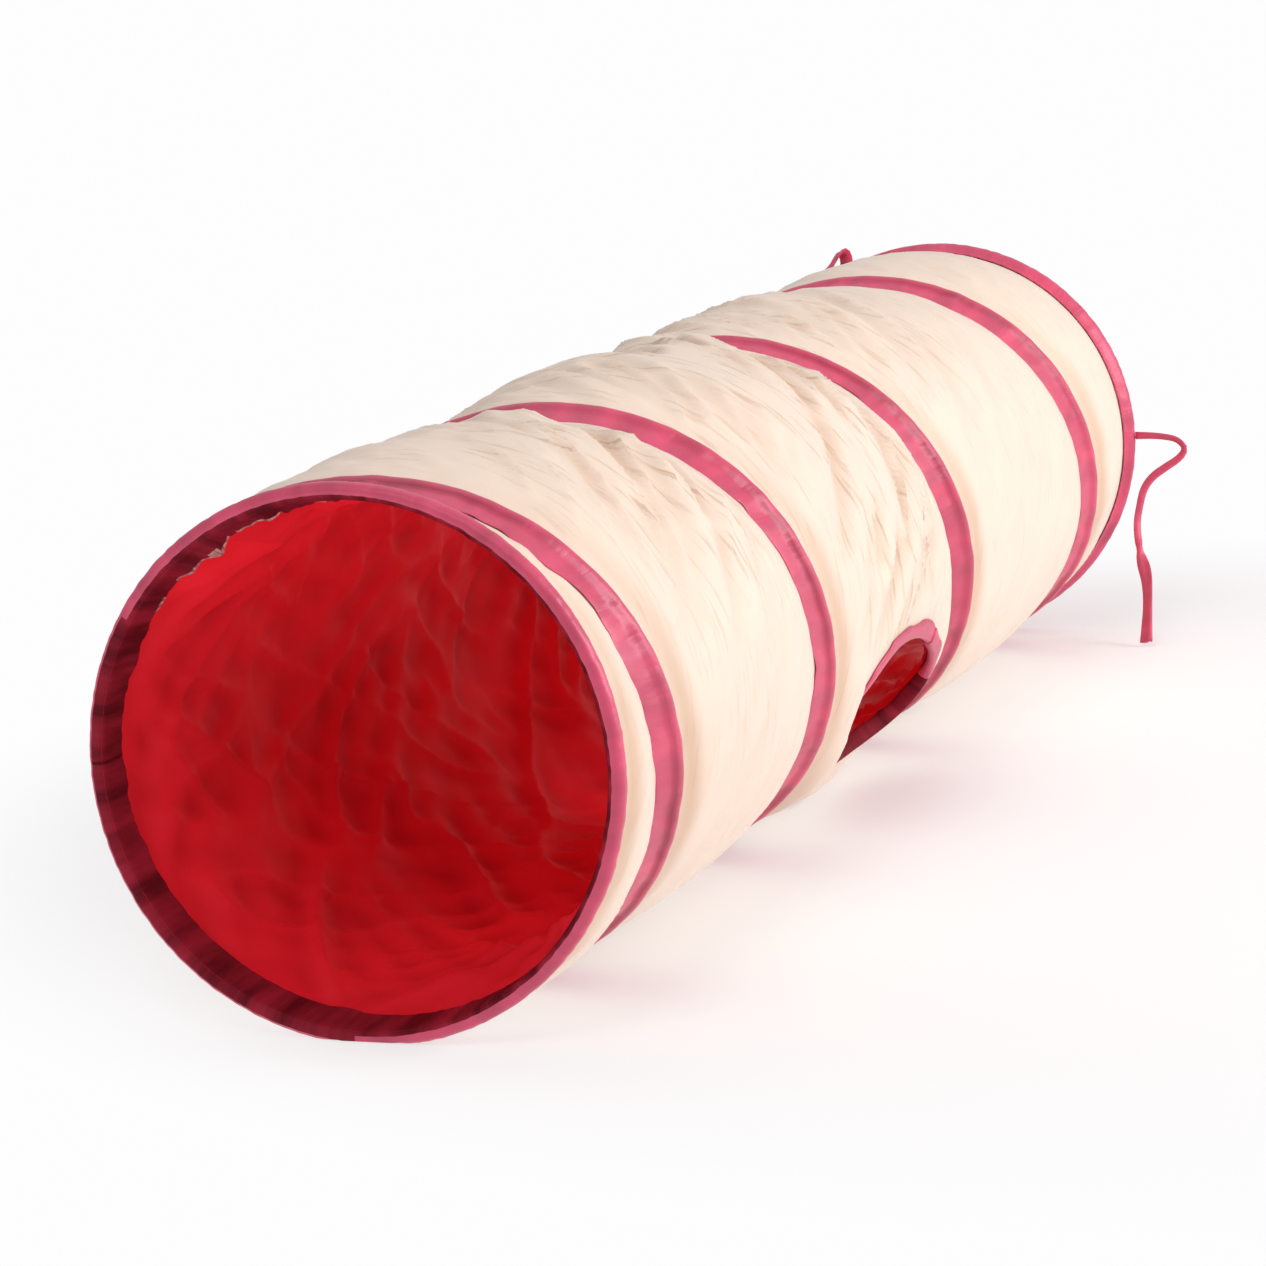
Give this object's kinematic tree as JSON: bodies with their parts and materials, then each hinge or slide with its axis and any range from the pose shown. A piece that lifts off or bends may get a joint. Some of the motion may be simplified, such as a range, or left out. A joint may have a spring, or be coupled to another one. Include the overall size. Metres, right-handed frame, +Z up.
{
  "type": "collapsible pet tunnel",
  "caption": "Spring-coil play tunnel for a small pet: a lined cloth tube on a helical wire, with bound mouths, a bound peep hole in the side and two ribbon ties, folding flat along its axis.",
  "frame": {"origin": "on the floor under the middle of the tunnel", "axes": "+Y along the tunnel from the front mouth to the rear mouth, +X to the side of the peep hole, +Z up"},
  "size_m": [0.2901, 1.01, 0.249],
  "materials": {
    "cream_polyester": "satiny woven polyester",
    "red_lining": "thin matte polyester",
    "crimson_satin": "satin tape",
    "spring_steel": "drawn spring wire"
  },
  "bodies": {
    "front_end": {"front_hem": "crimson_satin", "front_wire_sleeve": "spring_steel", "spring_wire": "spring_steel", "cover_1": "cream_polyester", "lining_1": "red_lining", "coil_tape_1": "crimson_satin"},
    "section_2": {"cover_2": "cream_polyester", "lining_2": "red_lining", "coil_tape_2": "crimson_satin"},
    "section_3": {"cover_3": "cream_polyester", "lining_3": "red_lining", "coil_tape_3": "crimson_satin", "peep_hole_binding": "crimson_satin"},
    "section_4": {"cover_4": "cream_polyester", "lining_4": "red_lining", "coil_tape_4": "crimson_satin"},
    "rear_end": {"cover_5": "cream_polyester", "lining_5": "red_lining", "coil_tape_5": "crimson_satin", "rear_hem": "crimson_satin", "rear_wire_sleeve": "spring_steel", "tie_right": "crimson_satin", "tie_left": "crimson_satin"}
  },
  "joints": [
    {"name": "rear_end_slide", "type": "slide", "parent": "front_end", "child": "rear_end", "axis": [0, -1, 0], "range_m": [0, 0.948], "stiffness_N_per_m": 7.3, "springref_m": -0.15, "deforming": ["spring_wire", "cover_1", "lining_1", "coil_tape_1", "cover_2", "lining_2", "coil_tape_2", "cover_3", "lining_3", "coil_tape_3", "peep_hole_binding", "cover_4", "lining_4", "coil_tape_4", "cover_5", "lining_5", "coil_tape_5"]},
    {"name": "section_2_slide", "type": "slide", "parent": "front_end", "child": "section_2", "axis": [0, -1, 0], "range_m": [0, 0.0754]},
    {"name": "section_3_slide", "type": "slide", "parent": "front_end", "child": "section_3", "axis": [0, -1, 0], "range_m": [0, 0.3175]},
    {"name": "section_4_slide", "type": "slide", "parent": "front_end", "child": "section_4", "axis": [0, -1, 0], "range_m": [0, 0.5889]}
  ],
  "couplings": [
    {"joint": "section_2_slide", "follows": "rear_end_slide", "ratio": 0.0795},
    {"joint": "section_3_slide", "follows": "rear_end_slide", "ratio": 0.3349},
    {"joint": "section_4_slide", "follows": "rear_end_slide", "ratio": 0.6211}
  ]
}
